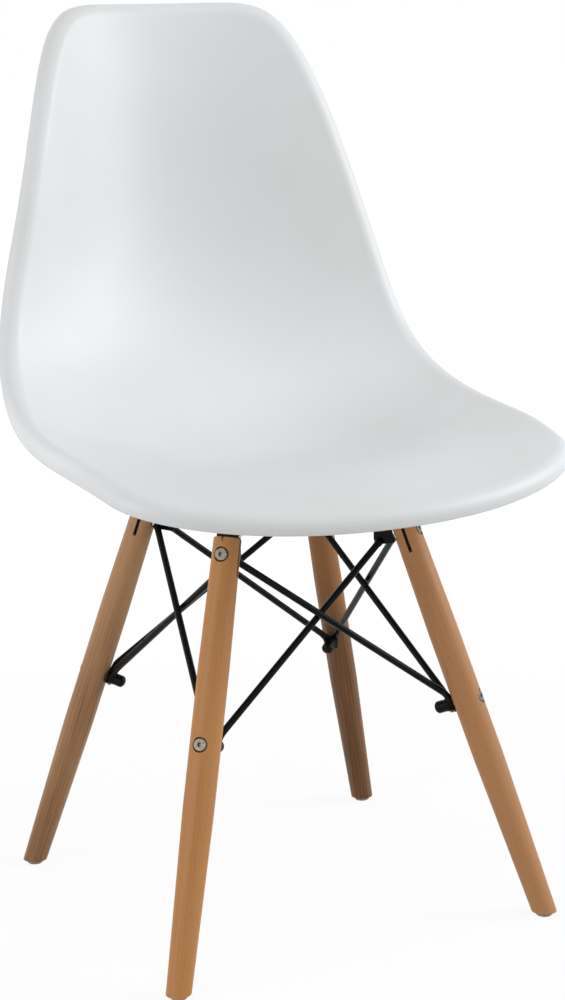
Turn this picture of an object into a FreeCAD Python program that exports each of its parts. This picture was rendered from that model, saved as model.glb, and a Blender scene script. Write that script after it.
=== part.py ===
import FreeCAD, Part
import math
import os

# Side chair with a moulded shell on four splayed wooden legs, braced by bent steel rods.
# Millimetres, +Z up, the sitter faces -Y, origin on the floor under the middle of the chair.

V = FreeCAD.Vector
UP = V(0, 0, 1)

# Whole chair
depth_shift = -1.07          # moves everything along Y so that the origin is under the middle

# Shell, described by stations along its centre line from the front lip to the top of the back.
# Each station is (forward place, height above the tops of the legs, half width, rise of the
# sides above the centre line) of one row of the spline surface's poles.
SHELL_STATIONS = {
    "front lip": (-246.0, 44.0, 187.0, 3.0),
    "thigh": (-143.0, 67.0, 211.0, 12.0),
    "front of seat": (-43.0, 46.0, 218.0, 35.0),
    "hip": (63.0, 36.0, 211.0, 57.0),
    "bend": (162.0, 84.0, 198.0, 62.0),
    "waist": (212.0, 190.0, 180.0, 67.0),
    "shoulder": (219.0, 319.0, 142.0, 63.0),
    "top": (227.0, 465.8, 109.0, 27.0),
}
side_curve_power = 2.2       # how late the sides start to rise, 1 is a straight V
across_pole_count = 9
face_overrun = 1.06          # the untrimmed face's half width over the finished one's
edge_front = 0.01            # shares of the centre line between which the finished shell lies
edge_top = 0.99
front_round_share = 0.065    # share of that stretch taken by the rounded front corners
front_round_power = 2.15     # 2 is an ellipse, higher is squarer
top_round_share = 0.223
top_round_power = 9.5
wall = 4.5
rim_radius = 13.0            # outer radius of the rolled edge
rim_skirt = 5.0              # straight stretch under the roll
rim_point_count = 40         # points round the edge
turn_spacing = 60.0          # extra edge length that a full radian of turning counts for
edge_step_count = 400        # fine steps in each stretch that the even points are read from
join_tolerance = 0.1         # the rim's ring follows the face's edge within this
quarter_handle = 0.5523      # handle length of a quarter turn over its radius

# Legs
foot_half_x = 185.0          # leg axis on the floor
foot_half_y = 177.5
top_half_x = 86.6            # leg axis at the leg's top
top_half_y = 88.1
leg_top_z = 372.0
leg_foot_d = 22.0
leg_belly_d = 27.5
leg_top_d = 24.5
leg_belly_low = 0.40         # shares of the length between which the leg is thickest
leg_belly_high = 0.72
leg_edge = 1.0               # worn edge at the top
leg_overrun = 20.0           # turned blank below the foot before the level cut
block_width = 1000.0         # blocks that cut legs and rods level
block_height = 100.0
notch_width = 3.0            # small V in the outer half's top edge
notch_depth = 5.0

# Foot glides
glide_d = 15.0
glide_height = 4.0
glide_edge = 0.8
glide_dish_depth = 1.6       # takes the nail's head
nail_head_d = 6.0
nail_head_height = 1.2
nail_shank_d = 2.4
nail_length = 18.0

# Brackets in the slots of the leg tops
steel = 3.0
tongue_width = 20.0
tongue_depth = 31.0          # how far the tongue goes down into the leg
tongue_corner = 4.0
slot_extra_depth = 2.0
slot_clearance = 0.1         # each side of the tongue
bracket_rise = 2.0           # flange underside above the leg's top
bend_radius = 2.6            # at the middle of the steel
flange_width = 28.0
flange_start = 6.0           # from the tongue's middle to where the flange has its full width
flange_reach = 31.0          # from the tongue's middle to the flange's free end
flange_corner = 6.0
pick_direction = 0.99        # how nearly an edge picked for rounding keeps its direction
pick_place = 0.1             # how nearly it lies at its place
shell_bolt_reach = 20.0      # from the tongue's middle to the shell bolt

# Bolts through the legs
upper_bolt_down = 15.5       # along the leg from its top
lower_bolt_down = 180.0
bolt_d = 6.0
bore_clearance = 0.3         # radial, in wood, steel and nuts
bolt_head_d = 12.0
bolt_head_height = 4.0
head_edge = 0.8
hex_socket = 4.0             # across flats
hex_socket_depth = 2.4
recess_clearance = 0.8       # radial, round the sunk heads
head_sink = 0.6              # head below the wood's skin
upper_nut_flats = 10.0
upper_nut_height = 4.0
nut_seat_sink = 5.0          # depth of the counterbore that hides the upper nuts
nut_seat_d = 14.0
cap_nut_d = 12.0
cap_nut_length = 11.0
cap_dome = 4.0
cap_collar_d = 13.0
cap_collar_length = 2.5
cap_bore_depth = 9.0
bolt_end_gap = 1.0           # between a lower bolt's end and the cap's inside

# Rods, each from a bracket to the lower bolt of a neighbouring leg
rod_d = 5.0
eye_d = 14.0
eye_thickness = 2.5
eye_clearance = 0.3          # between the first eye and the round leg
tab_width = 7.0
tab_reach = 12.0             # from the bolt's axis along the flattened end
rod_start = 7.6              # where the full rod begins, from the bolt's axis
rod_bend = 14.0              # where the rod bends, from the bolt's axis
rod_bend_radius = 12.0
inner_rod_lift = 3.0         # how much further in an inner rod's bend lies
outer_rod_reach = 14.0       # rod tops from the tongue's middle
inner_rod_reach = 24.5
rod_side = 10.5              # rod tops from the flange's middle

# Mounts between the shell and the flanges
pad_d = 22.0
pad_height = 2.0
boss_d = 24.0                # at the free end
boss_draft = 2.0             # degrees
boss_height = 48.0           # blank, before it is cut to the shell
rib_thickness = 2.5
rib_start = 5.0              # above the free end of the boss
rib_spread = 14.0            # beyond the root of the blank
insert_d = 9.0
insert_length = 14.0
insert_clearance = 0.3
shell_bolt_length = 17.0     # from its head
shell_head_d = 11.5
shell_head_height = 4.0
washer_d = 14.0
washer_thickness = 1.2


# Shared placing

SIDES = {
    "front_right": (-1, -1),
    "front_left": (1, -1),
    "rear_left": (1, 1),
    "rear_right": (-1, 1),
}
RING = list(SIDES)           # each leg's neighbours stand before and after it


class LegPlace:
    """The points and directions that everything on one leg shares."""

    def __init__(self, name):
        sx, sy = SIDES[name]
        self.name = name
        self.foot = V(sx * foot_half_x, sy * foot_half_y, 0)
        self.top = V(sx * top_half_x, sy * top_half_y, leg_top_z)
        self.length = (self.top - self.foot).Length
        self.axis = (self.top - self.foot).normalize()
        self.level = V(self.top.x - self.foot.x, self.top.y - self.foot.y, 0).normalize()
        self.sideways = UP.cross(self.level).normalize()
        self.inward = self.sideways.cross(self.axis).normalize()
        if self.inward.dot(self.level) < 0:
            self.inward = self.inward * -1

    def on_axis(self, down):
        """Return the point on the leg's axis a given way below its top."""
        return self.top - self.axis * down

    def radius(self, down):
        """Return the leg's radius a given way below its top."""
        height = self.length - down
        corners = leg_side_corners(self.length)
        for (low_r, low_z), (high_r, high_z) in zip(corners, corners[1:]):
            if height <= high_z:
                return low_r + (high_r - low_r) * (height - low_z) / (high_z - low_z)
        return corners[-1][0]

    def under_flange(self, reach, side):
        """Return a point on the flange's underside."""
        level_top = self.top + self.level * reach + self.sideways * side
        return V(level_top.x, level_top.y, leg_top_z + bracket_rise)


def cylinder(diameter, length, point, direction):
    """Return a cylinder that starts at a point and runs along a direction."""
    return Part.makeCylinder(diameter / 2, length, point, direction)


def turned(points, point, direction):
    """Return the solid turned from (radius, height) corners, stood at a point along a direction."""
    outline = Part.makePolygon([V(r, 0, z) for r, z in points + points[:1]])
    solid = Part.Face(outline).revolve(V(0, 0, 0), UP, 360)
    return stood(solid, point, direction)


def stood(shape, point, direction):
    """Return a shape built along +Z, moved to a point and turned along a direction."""
    placed = shape.copy()
    placed.Placement = FreeCAD.Placement(point, FreeCAD.Rotation(UP, direction))
    return placed


def hexagon_prism(flats, height, point, direction):
    """Return a six-sided prism that starts at a point."""
    corner = flats / math.sqrt(3)
    turns = [math.radians(60 * i) for i in range(7)]
    outline = Part.makePolygon([V(corner * math.cos(a), corner * math.sin(a), 0) for a in turns])
    return stood(Part.Face(outline).extrude(V(0, 0, height)), point, direction)


def level_block(bottom):
    """Return a block wider than the chair that starts at a level."""
    half = block_width / 2
    return Part.makeBox(block_width, block_width, block_height, V(-half, -half, bottom))


def bent_path(points, radius):
    """Return a wire through the points whose corners are arcs of one radius."""
    edges = []
    start = points[0]
    for before, corner, after in zip(points, points[1:], points[2:]):
        arriving = (corner - before).normalize()
        leaving = (after - corner).normalize()
        half_turn = arriving.getAngle(leaving) / 2
        setback = radius * math.tan(half_turn)
        middle = (leaving - arriving).normalize()
        centre = corner + middle * (radius / math.cos(half_turn))
        arc_start = corner - arriving * setback
        arc_end = corner + leaving * setback
        edges.append(Part.makeLine(start, arc_start))
        edges.append(Part.Arc(arc_start, centre - middle * radius, arc_end).toShape())
        start = arc_end
    edges.append(Part.makeLine(start, points[-1]))
    return Part.Wire(edges)


def save(name, solids):
    """Write one node, moved so that the chair stands over the origin."""
    shape = solids[0] if len(solids) == 1 else Part.makeCompound(solids)
    moved = shape.copy()
    moved.translate(V(0, depth_shift, 0))
    moved.exportStep("parts/" + name + ".step")


# Shell surface

def clamped_knots(count):
    """Return evenly spaced knots from 0 to 1 and their multiplicities for a clamped cubic spline."""
    spans = count - 3
    return [i / spans for i in range(spans + 1)], [4] + [1] * (spans - 1) + [4]


def pole_places(count):
    """Return the places, from 0 to 1, at which a clamped cubic spline's poles act."""
    knots, mults = clamped_knots(count)
    flat = [knot for knot, mult in zip(knots, mults) for i in range(mult)]
    return [sum(flat[i + 1:i + 4]) / 3 for i in range(count)]


def clamped_spline(poles):
    """Return a clamped cubic spline curve with the given poles."""
    knots, mults = clamped_knots(len(poles))
    curve = Part.BSplineCurve()
    curve.buildFromPolesMultsKnots(poles, mults, knots, False, 3)
    return curve


def seat_face():
    """Return the face the sitter touches, as a spline surface wider than the finished shell.

    The first direction runs along the centre line, the second across the chair.
    """
    centre = clamped_spline([V(0, y, leg_top_z + z) for y, z, w, h in SHELL_STATIONS.values()])
    across = [(2 * place - 1) * face_overrun for place in pole_places(across_pole_count)]
    rows = []
    for place, station in zip(pole_places(len(SHELL_STATIONS)), SHELL_STATIONS.values()):
        y, height, half_width, rise = station
        z = leg_top_z + height
        forward = centre.getDN(place, 1)
        normal = V(0, -forward.z, forward.y).normalize()
        rows.append([
            V(half_width * k, y, z) + normal * (rise * abs(k) ** side_curve_power)
            for k in across])
    knots_along, mults_along = clamped_knots(len(rows))
    knots_across, mults_across = clamped_knots(across_pole_count)
    surface = Part.BSplineSurface()
    surface.buildFromPolesMultsKnots(
        rows, mults_along, mults_across, knots_along, knots_across, False, False, 3, 3)
    return surface


def sitter_normal(face, place):
    """Return the unit normal on the sitter's side at a place on the face."""
    along, across = place
    normal = face.getDN(along, across, 0, 1).cross(face.getDN(along, across, 1, 0))
    return normal.normalize()


def back_face(face):
    """Return the shell's other side, one wall's thickness behind the face."""
    back = face.copy()
    for i, along in enumerate(pole_places(len(SHELL_STATIONS))):
        for j, across in enumerate(pole_places(across_pole_count)):
            pole = face.getPole(i + 1, j + 1)
            back.setPole(i + 1, j + 1, pole - sitter_normal(face, (along, across)) * wall)
    return back


def edge_places():
    """Return half the edge as fine steps of places on the face, front middle to top middle.

    Each rounded end is a quarter of a superellipse, and a straight side joins them.
    """
    steps = edge_step_count
    reach = edge_top - edge_front
    quarter = [0.5 * math.pi * i / steps for i in range(steps + 1)]
    front_rise = reach * front_round_share
    top_drop = reach * top_round_share
    places = [
        (edge_front + front_rise * (1 - math.cos(a) ** (2 / front_round_power)),
         math.sin(a) ** (2 / front_round_power))
        for a in quarter]
    side = reach - front_rise - top_drop
    places += [(edge_front + front_rise + side * i / steps, 1.0) for i in range(1, steps)]
    places += [
        (edge_top - top_drop * (1 - math.cos(a) ** (2 / top_round_power)),
         math.sin(a) ** (2 / top_round_power))
        for a in reversed(quarter)]
    return [(along, 0.5 * (k / face_overrun + 1)) for along, k in places]


def spaced_edge(face):
    """Return places round the whole edge of the face, closer together where it turns."""
    fine = edge_places()
    points = [face.value(*place) for place in fine]
    lengths = [0.0]
    before = V(1, 0, 0)
    for a, b in zip(points, points[1:]):
        step = b - a
        lengths.append(lengths[-1] + step.Length + turn_spacing * before.getAngle(step))
        before = step
    half = []
    j = 0
    for i in range(rim_point_count // 2 + 1):
        wanted = lengths[-1] * i / (rim_point_count // 2)
        while j < len(lengths) - 2 and lengths[j + 1] < wanted:
            j += 1
        part = (wanted - lengths[j]) / (lengths[j + 1] - lengths[j])
        half.append(tuple(a + (b - a) * part for a, b in zip(fine[j], fine[j + 1])))
    other = [(along, 1 - across) for along, across in half[-2:0:-1]]
    return half + other


def rim_section(face, back, place, tangent):
    """Return one section's stretches round the rolled rim, each as a list of poles.

    They are a quarter turn, a straight skirt, the wall's flat end, the skirt's inner side and
    a slope up to the back's edge, which leaves the roll thicker than the rest of the wall.
    """
    normal = sitter_normal(face, place)
    outward = tangent.cross(normal).normalize()
    start = face.value(*place)
    centre = start - normal * rim_radius
    handle = rim_radius * quarter_handle
    outer = centre + outward * rim_radius
    inner = centre + outward * (rim_radius - wall)
    drop = normal * -rim_skirt
    return [
        [start, start + outward * handle, outer + normal * handle, outer],
        [outer, outer + drop],
        [outer + drop, inner + drop],
        [inner + drop, inner],
        [inner, back.value(*place)],
    ]


def closed_poles(ring):
    """Return the poles of a closed cubic spline through a ring of evenly spaced points."""
    poles = []
    for i, point in enumerate(ring):
        bend = ring[i - 1] + ring[(i + 1) % len(ring)] - point * 2
        poles.append(point - bend * (1 / 6))
    return poles


def rim_bands(face, back, places):
    """Return the rolled rim as closed bands of spline surface, one for each stretch."""
    points = [face.value(*place) for place in places]
    sections = []
    for i, place in enumerate(places):
        tangent = (points[(i + 1) % len(points)] - points[i - 1]).normalize()
        sections.append(rim_section(face, back, place, tangent))
    ring_knots = [float(i) for i in range(rim_point_count + 1)]
    bands = []
    for stretch in zip(*sections):
        rows = [closed_poles(list(ring)) for ring in zip(*stretch)]
        surface = Part.BSplineSurface()
        surface.buildFromPolesMultsKnots(
            rows, [len(rows)] * 2, [1] * (rim_point_count + 1), [0.0, 1.0], ring_knots,
            False, True, len(rows) - 1, 3)
        bands.append(surface.toShape())
    return bands


def trimmed(surface, places):
    """Return the part of a surface inside a closed smooth line through the places."""
    flat = closed_poles([V(along, across, 0) for along, across in places])
    line = Part.Geom2d.BSplineCurve2d()
    ring_knots = [float(i) for i in range(rim_point_count + 1)]
    line.buildFromPolesMultsKnots(
        [FreeCAD.Base.Vector2d(p.x, p.y) for p in flat], [1] * (rim_point_count + 1), ring_knots, True, 3)
    outline = Part.Wire([line.toShape(surface)])
    pieces = surface.toShape().generalFuse([outline])[0]
    return max(pieces.Faces, key=lambda piece: piece.Area)


def moulded_shell():
    """Return the shell's wall as a solid: the face, its back and the rolled rim between them."""
    face = seat_face()
    back = back_face(face)
    places = spaced_edge(face)
    skins = [trimmed(back, places)] + rim_bands(face, back, places)
    joined = trimmed(face, places).generalFuse(skins, join_tolerance)[0]
    skin = Part.makeCompound(joined.Faces)
    skin.sewShape()
    return Part.Solid(skin.Shells[0])


def boss_point(leg):
    """Return the middle of a boss's free end."""
    point = leg.under_flange(shell_bolt_reach, 0)
    return point + UP * (steel + pad_height)


def boss_rib(point, along, root):
    """Return one upright rib through the middle of a boss, wider towards the shell."""
    low = point + UP * rib_start
    high = point + UP * boss_height
    across = UP.cross(along) * rib_thickness
    near = along * (boss_d / 2)
    far = along * (root + rib_spread)
    outline = [low - near, low + near, high + far, high - far, low - near]
    face = Part.Face(Part.makePolygon([corner - across / 2 for corner in outline]))
    return face.extrude(across)


def boss_blank(point):
    """Return a tapered boss with two crossed ribs, taller than it will be under the shell."""
    root = boss_d / 2 + boss_height * math.tan(math.radians(boss_draft))
    blank = Part.makeCone(boss_d / 2, root, boss_height, point, UP)
    ribs = [boss_rib(point, along, root) for along in (V(1, 0, 0), V(0, 1, 0))]
    return blank.fuse(ribs)


def shell_with_bosses():
    """Return the shell with a tapered, ribbed boss, bored for an insert, over each flange."""
    shell = moulded_shell()
    bore_d = insert_d + 2 * insert_clearance
    for name in RING:
        point = boss_point(LegPlace(name))
        below = min(boss_blank(point).cut(shell).Solids, key=lambda piece: piece.CenterOfMass.z)
        shell = shell.fuse(below)
        shell = shell.cut(cylinder(bore_d, insert_length, point, UP))
    return shell.Solids[0]


# Mounts under the shell

def shell_insert(leg):
    """Return the threaded sleeve in a boss."""
    point = boss_point(leg)
    sleeve = cylinder(insert_d, insert_length, point, UP)
    return sleeve.cut(cylinder(bolt_d + 2 * bore_clearance, insert_length, point, UP))


def mount_pad(leg):
    """Return the rubber disc between a flange and a boss."""
    point = boss_point(leg) - UP * pad_height
    disc = cylinder(pad_d, pad_height, point, UP)
    return disc.cut(cylinder(bolt_d + 2 * bore_clearance, pad_height, point, UP))


def shell_washer(leg):
    """Return the washer under a flange."""
    point = leg.under_flange(shell_bolt_reach, 0)
    disc = cylinder(washer_d, washer_thickness, point, UP * -1)
    return disc.cut(cylinder(bolt_d + 2 * bore_clearance, washer_thickness, point, UP * -1))


def headed_bolt(head_point, direction, length, head_d, head_height):
    """Return a bolt with a socket head; the head's underside lies at head_point."""
    shank = cylinder(bolt_d, length, head_point, direction)
    head = turned(
        [(0, 0), (head_d / 2, 0), (head_d / 2, head_height - head_edge),
         (head_d / 2 - head_edge, head_height), (0, head_height)],
        head_point, direction * -1)
    socket_point = head_point - direction * head_height
    socket = hexagon_prism(hex_socket, hex_socket_depth, socket_point, direction)
    return shank.fuse(head).cut(socket).removeSplitter().Solids[0]


def shell_bolt(leg):
    """Return the bolt that holds a flange to its boss."""
    point = leg.under_flange(shell_bolt_reach, 0) - UP * washer_thickness
    return headed_bolt(point, UP, shell_bolt_length, shell_head_d, shell_head_height)


# Legs

def leg_side_corners(length):
    """Return the (radius, height) corners of a leg's double taper, from the foot up."""
    return [
        (leg_foot_d / 2, 0),
        (leg_belly_d / 2, leg_belly_low * length),
        (leg_belly_d / 2, leg_belly_high * length),
        (leg_top_d / 2, length),
    ]


def turned_blank(leg):
    """Return the leg as turned, still too long at the foot."""
    side = leg_side_corners(leg.length)
    top_radius, top_height = side[-1]
    outline = [(0, -leg_overrun), (leg_foot_d / 2, -leg_overrun)] + side[:-1]
    outline += [(top_radius, top_height - leg_edge), (top_radius - leg_edge, top_height)]
    outline.append((0, top_height))
    return turned(outline, leg.foot, leg.axis)


def slot_cutter(leg):
    """Return the slot for the bracket's tongue."""
    thickness = steel + 2 * slot_clearance
    depth = tongue_depth + slot_extra_depth
    width = 2 * leg_top_d
    corner = leg.on_axis(depth) - leg.inward * (thickness / 2) - leg.sideways * (width / 2)
    base = Part.Face(Part.makePolygon([
        corner,
        corner + leg.sideways * width,
        corner + leg.sideways * width + leg.inward * thickness,
        corner + leg.inward * thickness,
        corner]))
    return base.extrude(leg.axis * (2 * depth))


def notch_cutter(leg):
    """Return the small V in the top edge of the outer half."""
    tip = leg.on_axis(notch_depth)
    half = leg.sideways * (notch_width / 2)
    face = Part.Face(Part.makePolygon([
        tip, leg.top + half, leg.top + half + leg.axis, leg.top - half + leg.axis,
        leg.top - half, tip]))
    return face.extrude(leg.inward * -leg_top_d)


def bolt_bore(leg, down):
    """Return a bolt's bore through the leg with the recess for its head."""
    middle = leg.on_axis(down)
    outward = leg.inward * -1
    recess_floor = leg.radius(down) - head_sink - bolt_head_height
    bore = cylinder(bolt_d + 2 * bore_clearance, 2 * leg_belly_d, middle - leg.inward * leg_belly_d,
                    leg.inward)
    recess = cylinder(bolt_head_d + 2 * recess_clearance, leg_belly_d,
                      middle + outward * recess_floor, outward)
    return bore.fuse(recess)


def leg_solid(leg):
    """Return one leg: turned, cut level at the foot, slotted, notched and bored."""
    floor_cut = level_block(glide_height - block_height)
    nut_floor = leg.radius(upper_bolt_down) - nut_seat_sink
    nut_seat = cylinder(nut_seat_d, leg_belly_d,
                        leg.on_axis(upper_bolt_down) + leg.inward * nut_floor, leg.inward)
    nail_hole = cylinder(nail_shank_d + 2 * bore_clearance, nail_length,
                         glide_point(leg) + UP * glide_height, UP)
    solid = turned_blank(leg)
    for cutter in [floor_cut, slot_cutter(leg), notch_cutter(leg), bolt_bore(leg, upper_bolt_down),
                   bolt_bore(leg, lower_bolt_down), nut_seat, nail_hole]:
        solid = solid.cut(cutter)
    return solid.Solids[0]


# Feet

def glide_point(leg):
    """Return the middle of a glide's face on the floor."""
    return leg.foot + leg.axis * (glide_height / leg.axis.z) - UP * glide_height


def foot_glide(leg):
    """Return the plastic glide under a leg, dished for its nail."""
    radius = glide_d / 2
    hole = nail_shank_d / 2 + bore_clearance
    dish = nail_head_d / 2 + bore_clearance
    return turned(
        [(hole, glide_height), (radius, glide_height), (radius, glide_edge),
         (radius - glide_edge, 0), (dish, 0), (dish, glide_dish_depth), (hole, glide_dish_depth)],
        glide_point(leg), UP)


def glide_nail(leg):
    """Return the nail that holds a glide."""
    head = nail_head_d / 2
    shank = nail_shank_d / 2
    low = glide_dish_depth - nail_head_height
    return turned(
        [(0, low), (head, low), (head, glide_dish_depth), (shank, glide_dish_depth),
         (shank, nail_length - shank), (0, nail_length)],
        glide_point(leg), UP)


# Brackets

def bracket_strip(leg):
    """Return the bent strip of the tongue and the start of the flange."""
    low = leg.on_axis(tongue_depth)
    rise = bracket_rise + steel / 2
    corner = leg.top + leg.axis * (rise / leg.axis.z)
    free = leg.top + leg.level * flange_reach + UP * rise
    path = bent_path([low, corner, free], bend_radius)
    half_width = leg.sideways * (tongue_width / 2)
    half_steel = leg.inward * (steel / 2)
    outline = Part.makePolygon([
        low + half_width + half_steel, low + half_width - half_steel,
        low - half_width - half_steel, low - half_width + half_steel,
        low + half_width + half_steel])
    return path.makePipeShell([outline], True, False)


def flange_plate(leg):
    """Return the flange at its full width with rounded free corners."""
    start = leg.under_flange(flange_start, -flange_width / 2)
    across = leg.sideways * flange_width
    along = leg.level * (flange_reach - flange_start)
    base = Part.Face(Part.makePolygon(
        [start, start + across, start + across + along, start + along, start]))
    plate = base.extrude(UP * steel)
    free_middle = leg.under_flange(flange_reach, 0)
    upright = [
        edge for edge in plate.Edges
        if abs(edge.tangentAt(edge.FirstParameter).z) > pick_direction
        and abs((edge.CenterOfMass - free_middle).dot(leg.level)) < pick_place]
    return plate.makeFillet(flange_corner, upright)


def bracket(leg):
    """Return the steel bracket of one leg."""
    strip = bracket_strip(leg)
    low = leg.on_axis(tongue_depth)
    short = [
        edge for edge in strip.Edges
        if abs(edge.tangentAt(edge.FirstParameter).dot(leg.inward)) > pick_direction
        and abs((edge.CenterOfMass - low).dot(leg.axis)) < pick_place]
    strip = strip.makeFillet(tongue_corner, short)
    hole_d = bolt_d + 2 * bore_clearance
    solid = strip.fuse(flange_plate(leg)).removeSplitter()
    tongue_hole = leg.on_axis(upper_bolt_down) - leg.inward * steel
    solid = solid.cut(cylinder(hole_d, 2 * steel, tongue_hole, leg.inward))
    flange_hole = leg.under_flange(shell_bolt_reach, 0) - UP
    return solid.cut(cylinder(hole_d, 2 * steel, flange_hole, UP)).Solids[0]


# Bolts and nuts of the legs

def leg_bolt(leg, down, length):
    """Return a bolt through a leg, its head sunk in the outer side."""
    head_point = leg.on_axis(down) - leg.inward * (leg.radius(down) - head_sink - bolt_head_height)
    return headed_bolt(head_point, leg.inward, length, bolt_head_d, bolt_head_height)


def upper_bolt(leg):
    """Return the bolt through a leg's top and its bracket's tongue."""
    from_head = 2 * leg.radius(upper_bolt_down) - head_sink - bolt_head_height
    return leg_bolt(leg, upper_bolt_down, from_head - nut_seat_sink + upper_nut_height)


def upper_nut(leg):
    """Return the six-sided nut sunk in the inner side of a leg's top."""
    seat = leg.on_axis(upper_bolt_down) + leg.inward * (leg.radius(upper_bolt_down) - nut_seat_sink)
    nut = hexagon_prism(upper_nut_flats, upper_nut_height, seat, leg.inward)
    return nut.cut(cylinder(bolt_d + 2 * bore_clearance, upper_nut_height, seat, leg.inward))


def cap_seat(leg):
    """Return the point where a cap nut sits on the second eye."""
    stack = leg.radius(lower_bolt_down) + eye_clearance + 2 * eye_thickness
    return leg.on_axis(lower_bolt_down) + leg.inward * stack


def lower_bolt(leg):
    """Return the bolt through a leg and two rod eyes into the cap nut."""
    to_seat = 2 * leg.radius(lower_bolt_down) + eye_clearance + 2 * eye_thickness
    length = to_seat - head_sink - bolt_head_height + cap_bore_depth - bolt_end_gap
    return leg_bolt(leg, lower_bolt_down, length)


def cap_nut(leg):
    """Return the domed cap nut on a lower bolt."""
    collar = cap_collar_d / 2
    radius = cap_nut_d / 2
    straight = cap_nut_length
    dome_radius = (radius ** 2 + cap_dome ** 2) / (2 * cap_dome)
    dome_centre = straight + cap_dome - dome_radius
    half_turn = math.asin(radius / dome_radius) / 2
    dome_middle = V(dome_radius * math.sin(half_turn), 0,
                    dome_centre + dome_radius * math.cos(half_turn))
    edges = [
        Part.makeLine(V(0, 0, 0), V(collar, 0, 0)),
        Part.makeLine(V(collar, 0, 0), V(collar, 0, cap_collar_length)),
        Part.makeLine(V(collar, 0, cap_collar_length), V(radius, 0, cap_collar_length)),
        Part.makeLine(V(radius, 0, cap_collar_length), V(radius, 0, straight)),
        Part.Arc(V(radius, 0, straight), dome_middle, V(0, 0, straight + cap_dome)).toShape(),
        Part.makeLine(V(0, 0, straight + cap_dome), V(0, 0, 0)),
    ]
    cap = Part.Face(Part.Wire(edges)).revolve(V(0, 0, 0), UP, 360)
    cap = cap.cut(cylinder(bolt_d + 2 * bore_clearance, cap_bore_depth, V(0, 0, 0), UP))
    return stood(cap, cap_seat(leg), leg.inward)


# Rods

def flattened_end(leg, direction, offset):
    """Return a rod's eye and tab, one eye's thickness up from an offset above the leg."""
    middle = leg.on_axis(lower_bolt_down) + leg.inward * (leg.radius(lower_bolt_down) + offset)
    across = leg.inward.cross(direction).normalize() * (tab_width / 2)
    tab = Part.Face(Part.makePolygon([
        middle + across, middle - across, middle - across + direction * tab_reach,
        middle + across + direction * tab_reach, middle + across]))
    solid = tab.extrude(leg.inward * eye_thickness)
    solid = solid.fuse(cylinder(eye_d, eye_thickness, middle, leg.inward))
    return solid.cut(cylinder(bolt_d + 2 * bore_clearance, eye_thickness, middle, leg.inward))


def rod(from_leg, to_leg, inner):
    """Return the rod from one leg's bracket to the neighbouring leg's lower bolt."""
    side = 1 if from_leg.sideways.dot(to_leg.top - from_leg.top) > 0 else -1
    reach = inner_rod_reach if inner else outer_rod_reach
    top = from_leg.under_flange(reach, side * rod_side)
    eye_offset = eye_clearance + (eye_thickness if inner else 0)
    axis_offset = eye_clearance + eye_thickness * (2 if inner else 1)
    lift = inner_rod_lift if inner else 0
    middle = to_leg.on_axis(lower_bolt_down)
    middle = middle + to_leg.inward * (to_leg.radius(lower_bolt_down) + axis_offset)
    towards = top - middle
    direction = (towards - to_leg.inward * towards.dot(to_leg.inward)).normalize()
    start = middle + direction * rod_start
    bend = middle + direction * rod_bend + to_leg.inward * lift
    beyond = top + (top - bend).normalize() * (2 * rod_d)
    path = bent_path([start, bend, beyond], rod_bend_radius)
    first = (bend - start).normalize()
    profile = Part.Wire([Part.Circle(start, first, rod_d / 2).toShape()])
    bar = path.makePipeShell([profile], True, False)
    bar = bar.cut(level_block(top.z))
    return bar.fuse(flattened_end(to_leg, direction, eye_offset)).Solids[0]


# Writing the nodes

def neighbour(name, step):
    """Return the name of the leg a step further round the chair."""
    return RING[(RING.index(name) + step) % len(RING)]


def write_legs(legs):
    """Write the nodes that belong to one leg each."""
    for name, leg in legs.items():
        save("leg_" + name, [leg_solid(leg)])
        save("bracket_" + name, [bracket(leg)])
        save("foot_glide_" + name, [foot_glide(leg)])
        after = neighbour(name, 1)
        before = neighbour(name, -1)
        save("rod_" + name + "_to_" + after, [rod(leg, legs[after], False)])
        save("rod_" + name + "_to_" + before, [rod(leg, legs[before], True)])


def write_groups(legs):
    """Write the nodes that hold four like pieces."""
    groups = {
        "shell_inserts": shell_insert,
        "mount_pads": mount_pad,
        "shell_washers": shell_washer,
        "shell_bolts": shell_bolt,
        "upper_leg_bolts": upper_bolt,
        "upper_leg_nuts": upper_nut,
        "lower_leg_bolts": lower_bolt,
        "lower_cap_nuts": cap_nut,
        "glide_nails": glide_nail,
    }
    for node, build in groups.items():
        save(node, [build(leg) for leg in legs.values()])


def main():
    os.makedirs("parts", exist_ok=True)
    legs = {name: LegPlace(name) for name in RING}
    save("seat_shell", [shell_with_bosses()])
    write_legs(legs)
    write_groups(legs)


main()
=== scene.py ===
import logging
import math
from dataclasses import dataclass, field
from enum import Enum
from functools import partialmethod

import bpy
import numpy as np
from bpy.types import Material
from mathutils import Matrix, Vector

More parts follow.
